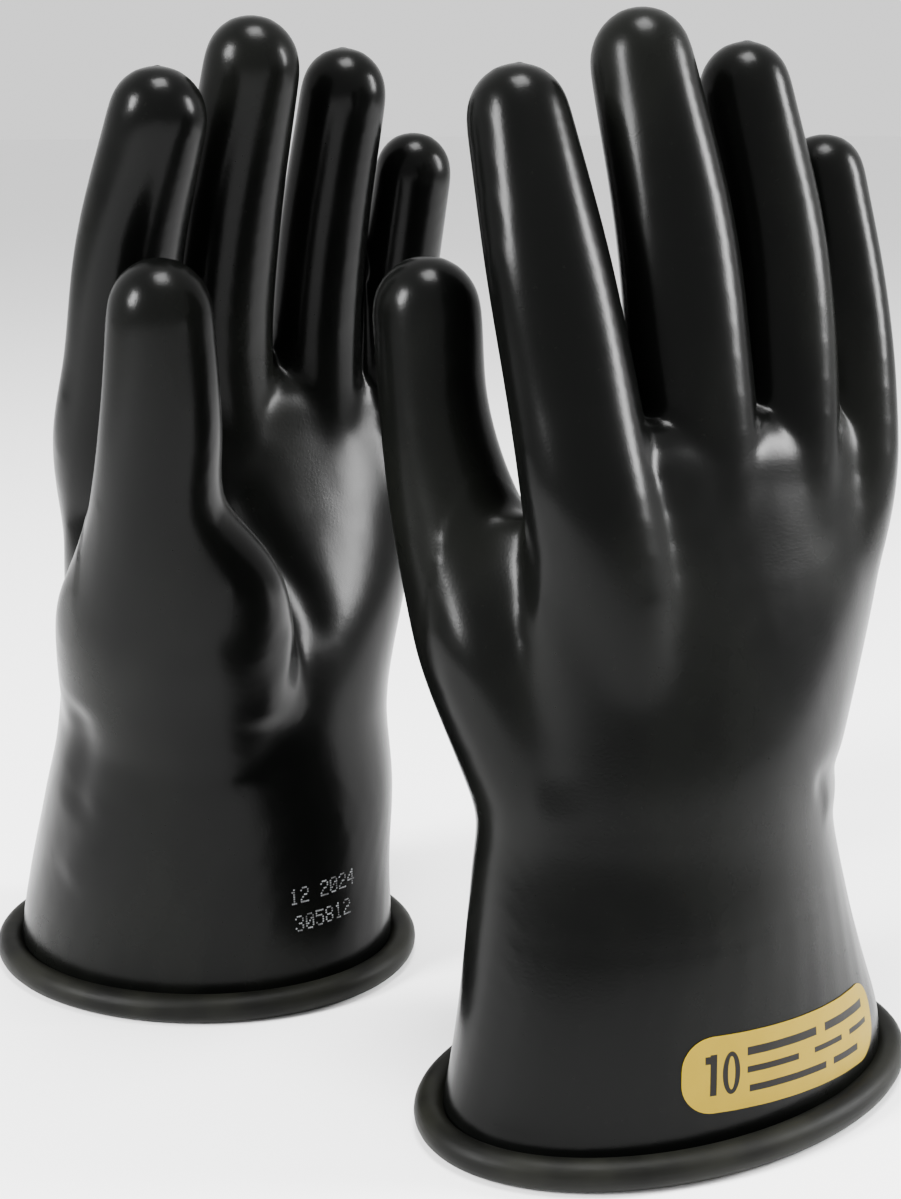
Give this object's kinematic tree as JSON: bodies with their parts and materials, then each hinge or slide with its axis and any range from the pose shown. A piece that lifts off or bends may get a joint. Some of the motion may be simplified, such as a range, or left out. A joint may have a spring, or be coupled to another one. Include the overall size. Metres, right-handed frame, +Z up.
{
  "type": "electrical insulating gloves",
  "caption": "Pair of black dipped-rubber insulating gloves with flared gauntlet cuffs and rolled edges, standing fingers up, palms facing each other.",
  "frame": {"origin": "centre of the pair's footprint on the surface that the rolled cuffs stand on", "axes": "+Z up along the fingers, +X from the thumb side to the little-finger side, palms facing each other along Y with the left glove's palm towards -Y"},
  "size_m": [0.1927, 0.2506, 0.2733],
  "materials": {
    "dipped_rubber": "satin black, softly glossy dipped film",
    "cuff_roll": "duller olive black rolled edge",
    "label_film": "satin gold-tan film with dark print"
  },
  "bodies": {
    "left_cuff": {"left_cuff_bead": "cuff_roll", "left_gauntlet": "dipped_rubber", "left_cuff_label": "label_film", "left_wrist_band": "dipped_rubber"},
    "left_hand": {"left_hand": "dipped_rubber", "left_thumb_band": "dipped_rubber", "left_index_band": "dipped_rubber", "left_middle_band": "dipped_rubber", "left_ring_band": "dipped_rubber", "left_little_band": "dipped_rubber"},
    "left_thumb": {"left_thumb": "dipped_rubber"},
    "left_index": {"left_index": "dipped_rubber"},
    "left_middle": {"left_middle": "dipped_rubber"},
    "left_ring": {"left_ring": "dipped_rubber"},
    "left_little": {"left_little": "dipped_rubber"},
    "right_cuff": {"right_cuff_bead": "cuff_roll", "right_gauntlet": "dipped_rubber", "right_cuff_label": "label_film", "right_wrist_band": "dipped_rubber"},
    "right_hand": {"right_hand": "dipped_rubber", "right_thumb_band": "dipped_rubber", "right_index_band": "dipped_rubber", "right_middle_band": "dipped_rubber", "right_ring_band": "dipped_rubber", "right_little_band": "dipped_rubber"},
    "right_thumb": {"right_thumb": "dipped_rubber"},
    "right_index": {"right_index": "dipped_rubber"},
    "right_middle": {"right_middle": "dipped_rubber"},
    "right_ring": {"right_ring": "dipped_rubber"},
    "right_little": {"right_little": "dipped_rubber"}
  },
  "joints": [
    {"name": "right_glove_lift", "type": "slide", "parent": "left_cuff", "child": "right_cuff", "axis": [0, 0, 1], "range_m": [0, 0.3]},
    {"name": "left_wrist_bend", "type": "hinge", "parent": "left_cuff", "child": "left_hand", "pos_m": [-0.0346, 0.0577, 0.088], "axis": [1, 0, 0], "range_deg": [-25, 10], "stiffness_Nm_per_rad": 0.5, "deforming": ["left_wrist_band"]},
    {"name": "left_thumb_bend", "type": "hinge", "parent": "left_hand", "child": "left_thumb", "pos_m": [-0.07635, 0.01886, 0.16076], "axis": [0.8, -0.6, 0], "range_deg": [-10, 20], "stiffness_Nm_per_rad": 0.04, "deforming": ["left_thumb_band"]},
    {"name": "left_index_bend", "type": "hinge", "parent": "left_hand", "child": "left_index", "pos_m": [-0.06957, 0.05611, 0.19013], "axis": [1, 0, 0], "range_deg": [-10, 15], "stiffness_Nm_per_rad": 0.03, "deforming": ["left_index_band"]},
    {"name": "left_middle_bend", "type": "hinge", "parent": "left_hand", "child": "left_middle", "pos_m": [-0.03096, 0.05829, 0.19511], "axis": [1, 0, 0], "range_deg": [-10, 45], "stiffness_Nm_per_rad": 0.03, "deforming": ["left_middle_band"]},
    {"name": "left_ring_bend", "type": "hinge", "parent": "left_hand", "child": "left_ring", "pos_m": [0.00116, 0.06077, 0.19446], "axis": [1, 0, 0], "range_deg": [-10, 45], "stiffness_Nm_per_rad": 0.03, "deforming": ["left_ring_band"]},
    {"name": "left_little_bend", "type": "hinge", "parent": "left_hand", "child": "left_little", "pos_m": [0.02829, 0.06024, 0.18608], "axis": [1, 0, 0], "range_deg": [-10, 45], "stiffness_Nm_per_rad": 0.025, "deforming": ["left_little_band"]},
    {"name": "right_wrist_bend", "type": "hinge", "parent": "right_cuff", "child": "right_hand", "pos_m": [0.0209, -0.0695, 0.088], "axis": [-1, 0, 0], "range_deg": [-25, 10], "stiffness_Nm_per_rad": 0.5, "deforming": ["right_wrist_band"]},
    {"name": "right_thumb_bend", "type": "hinge", "parent": "right_hand", "child": "right_thumb", "pos_m": [-0.02085, -0.03066, 0.16076], "axis": [-0.8, -0.6, 0], "range_deg": [-10, 20], "stiffness_Nm_per_rad": 0.04, "deforming": ["right_thumb_band"]},
    {"name": "right_index_bend", "type": "hinge", "parent": "right_hand", "child": "right_index", "pos_m": [-0.01407, -0.06791, 0.19013], "axis": [-1, 0, 0], "range_deg": [-10, 15], "stiffness_Nm_per_rad": 0.03, "deforming": ["right_index_band"]},
    {"name": "right_middle_bend", "type": "hinge", "parent": "right_hand", "child": "right_middle", "pos_m": [0.02454, -0.07009, 0.19511], "axis": [-1, 0, 0], "range_deg": [-10, 45], "stiffness_Nm_per_rad": 0.03, "deforming": ["right_middle_band"]},
    {"name": "right_ring_bend", "type": "hinge", "parent": "right_hand", "child": "right_ring", "pos_m": [0.05666, -0.07257, 0.19446], "axis": [-1, 0, 0], "range_deg": [-10, 45], "stiffness_Nm_per_rad": 0.03, "deforming": ["right_ring_band"]},
    {"name": "right_little_bend", "type": "hinge", "parent": "right_hand", "child": "right_little", "pos_m": [0.08379, -0.07204, 0.18608], "axis": [-1, 0, 0], "range_deg": [-10, 45], "stiffness_Nm_per_rad": 0.025, "deforming": ["right_little_band"]}
  ]
}
